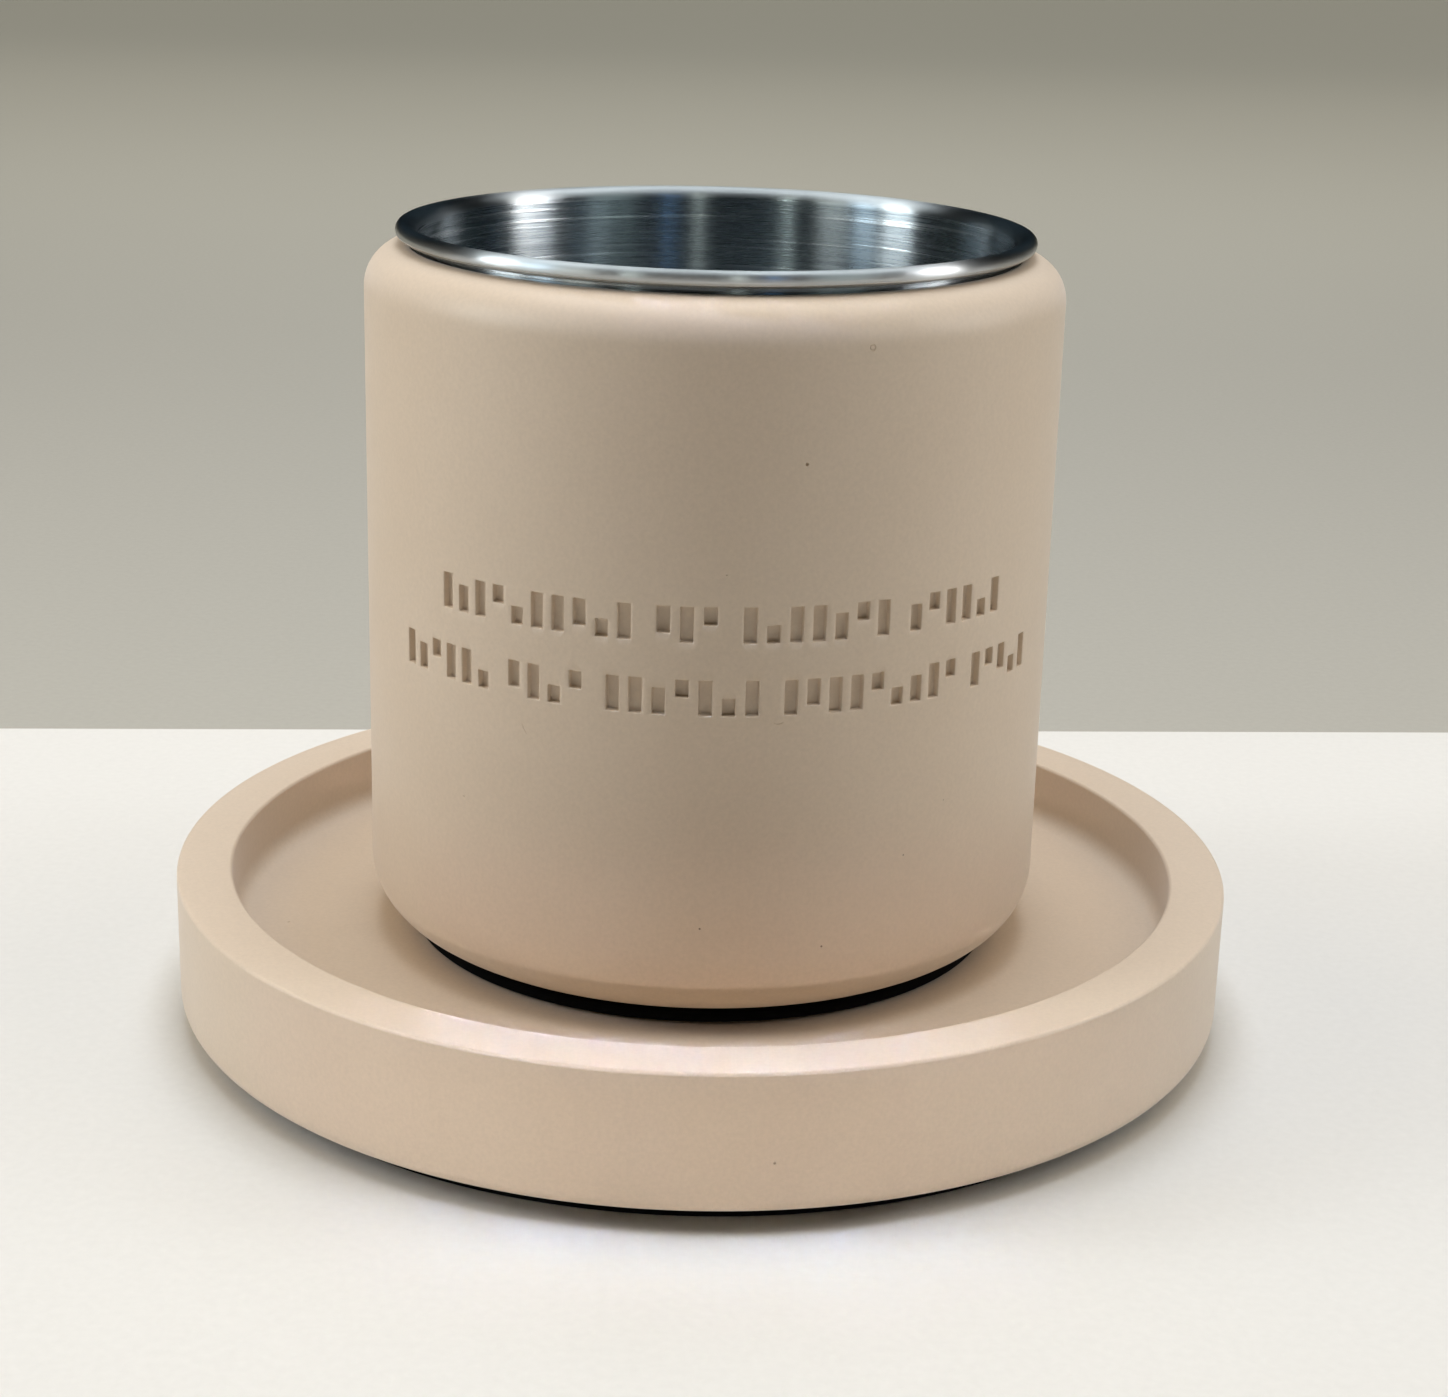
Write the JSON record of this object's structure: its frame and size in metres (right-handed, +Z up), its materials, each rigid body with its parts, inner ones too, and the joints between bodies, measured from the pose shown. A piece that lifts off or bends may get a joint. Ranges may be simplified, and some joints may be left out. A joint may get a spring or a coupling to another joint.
{
  "type": "kiddush cup",
  "caption": "Round cast cup with a rolled-lip steel liner and an engraved band of strokes, standing in a low cast saucer, both on black foot pads.",
  "frame": {"origin": "centre of the saucer pad's underside, on the common axis of cup and saucer", "axes": "+Z up along the common axis, -Y towards the side that carries the inscription"},
  "size_m": [0.12, 0.12, 0.0896],
  "materials": {
    "cast_mineral": "fine matt cast mineral in a warm beige, with a few pinholes",
    "liner_steel": "stainless steel brushed round its axis, with a brighter rolled lip",
    "foot_pad": "matt black closed foam rubber"
  },
  "bodies": {
    "root": {"saucer_pad": "foot_pad", "saucer": "cast_mineral", "cup_pad": "foot_pad", "cup_body": "cast_mineral", "steel_liner": "liner_steel"}
  },
  "joints": []
}
